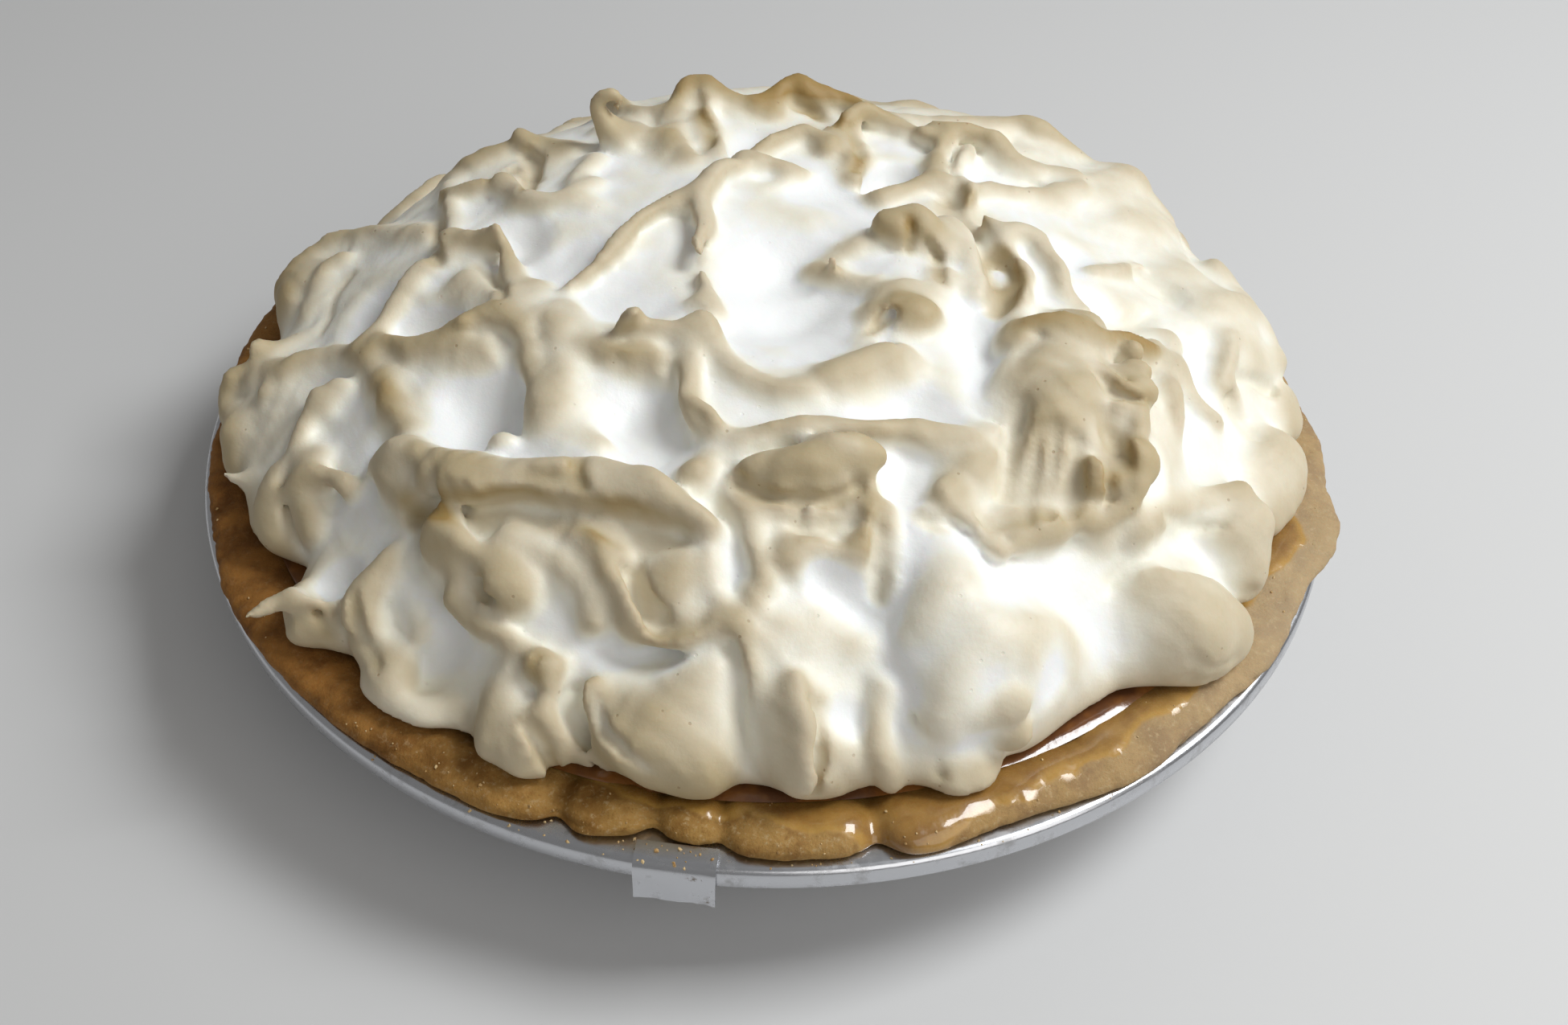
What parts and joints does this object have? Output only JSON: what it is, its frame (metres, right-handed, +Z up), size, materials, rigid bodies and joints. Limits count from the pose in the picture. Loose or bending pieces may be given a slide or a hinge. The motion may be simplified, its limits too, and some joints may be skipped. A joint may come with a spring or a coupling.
{
  "type": "lemon meringue pie",
  "caption": "Lemon meringue pie in its own round metal tin, with an uneven shortcrust rim, a dark lemon filling at the edge and a tall swirled meringue with toasted ridges.",
  "frame": {"origin": "middle of the tin's flat base, on the surface that the pie stands on", "axes": "+Z up out of the tin, -Y towards the front, where the tab hangs over the rim, +X to the right seen from the front"},
  "size_m": [0.25, 0.2511, 0.087],
  "materials": {
    "tin_metal": "bright pressed tin plate with fine scratches",
    "baked_crust": "golden brown shortcrust, matt and grainy, darker in its cracks",
    "lemon_syrup": "amber to dark brown syrupy lemon filling, wet and glossy",
    "toasted_meringue": "white in the hollows and toasted to a pale tan on the ridges, satin"
  },
  "bodies": {
    "root": {"pie_tin": "tin_metal", "release_tab": "tin_metal", "crust": "baked_crust", "lemon_filling": "lemon_syrup", "meringue": "toasted_meringue"}
  },
  "joints": []
}
